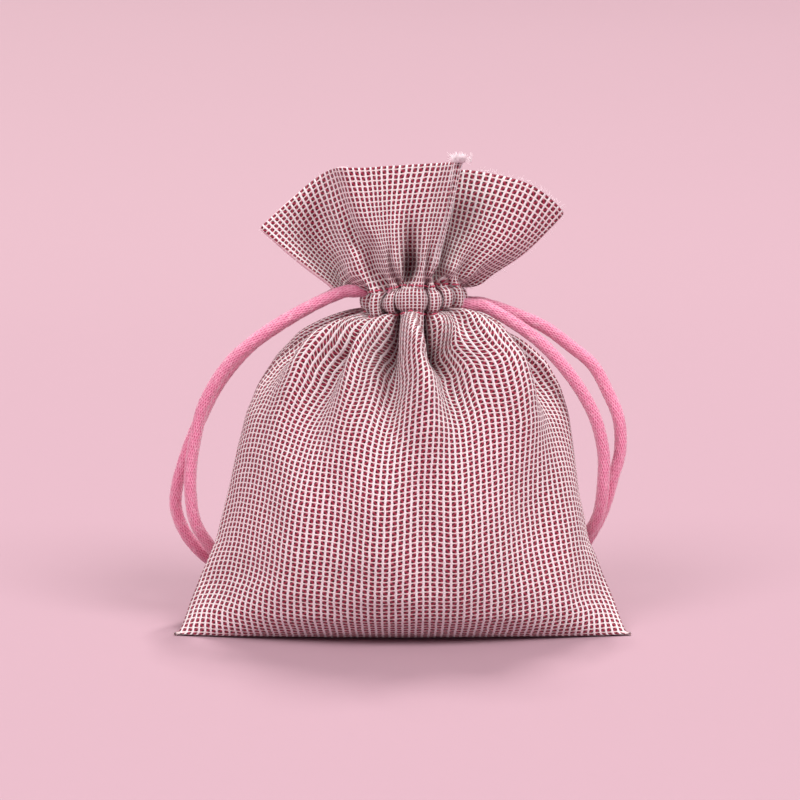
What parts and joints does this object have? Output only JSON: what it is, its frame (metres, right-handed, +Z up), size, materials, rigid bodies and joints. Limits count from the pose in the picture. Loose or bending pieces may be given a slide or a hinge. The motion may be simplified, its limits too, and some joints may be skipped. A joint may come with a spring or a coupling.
{
  "type": "drawstring gift pouch",
  "caption": "Standing cloth gift pouch with a filled body, a gathered casing at the neck, a ruffle of two flaps above it and a pull cord on each side.",
  "frame": {"origin": "middle of the base on the surface that the pouch stands on", "axes": "+Z up through the neck, +X to the right seen from the front, -Y towards the viewer of the front"},
  "size_m": [0.1308, 0.0759, 0.1332],
  "materials": {
    "pouch_cloth": "woven, small red and white check",
    "sewing_thread": "matte thread",
    "cord": "braided, soft sheen"
  },
  "bodies": {
    "pouch": {"front_panel": "pouch_cloth", "back_panel": "pouch_cloth", "left_seam_allowance": "pouch_cloth", "right_seam_allowance": "pouch_cloth", "bottom_seam_allowance": "pouch_cloth", "left_seam_stitches": "sewing_thread", "right_seam_stitches": "sewing_thread", "bottom_seam_stitches": "sewing_thread", "front_casing": "pouch_cloth", "back_casing": "pouch_cloth", "front_casing_upper_stitches": "sewing_thread", "front_casing_lower_stitches": "sewing_thread", "back_casing_upper_stitches": "sewing_thread", "back_casing_lower_stitches": "sewing_thread", "left_cord_channel_run": "cord", "right_cord_channel_run": "cord"},
    "front_ruffle": {"front_flap": "pouch_cloth"},
    "back_ruffle": {"back_flap": "pouch_cloth"},
    "left_cord_leads": {"left_cord_front_lead": "cord", "left_cord_back_lead": "cord"},
    "left_cord_tails": {"left_cord_front_tail": "cord", "left_cord_back_tail": "cord", "left_cord_knot": "cord"},
    "right_cord_leads": {"right_cord_front_lead": "cord", "right_cord_back_lead": "cord"},
    "right_cord_tails": {"right_cord_front_tail": "cord", "right_cord_back_tail": "cord", "right_cord_knot": "cord"}
  },
  "joints": [
    {"name": "front_flap_tilt", "type": "hinge", "parent": "pouch", "child": "front_ruffle", "pos_m": [0.003, -0.0135, 0.0998], "axis": [1, 0, 0], "range_deg": [0, 30]},
    {"name": "back_flap_tilt", "type": "hinge", "parent": "pouch", "child": "back_ruffle", "pos_m": [0.003, 0.0135, 0.0998], "axis": [-1, 0, 0], "range_deg": [0, 30]},
    {"name": "left_cord_pull", "type": "slide", "parent": "pouch", "child": "left_cord_leads", "axis": [-1, 0, 0], "range_m": [0, 0.005]},
    {"name": "left_cord_swing", "type": "hinge", "parent": "left_cord_leads", "child": "left_cord_tails", "pos_m": [-0.0159, 0, 0.0964], "axis": [0, 1, 0], "range_deg": [0, 25]},
    {"name": "right_cord_pull", "type": "slide", "parent": "pouch", "child": "right_cord_leads", "axis": [1, 0, 0], "range_m": [0, 0.005]},
    {"name": "right_cord_swing", "type": "hinge", "parent": "right_cord_leads", "child": "right_cord_tails", "pos_m": [0.0219, 0, 0.0926], "axis": [0, -1, 0], "range_deg": [0, 25]}
  ]
}
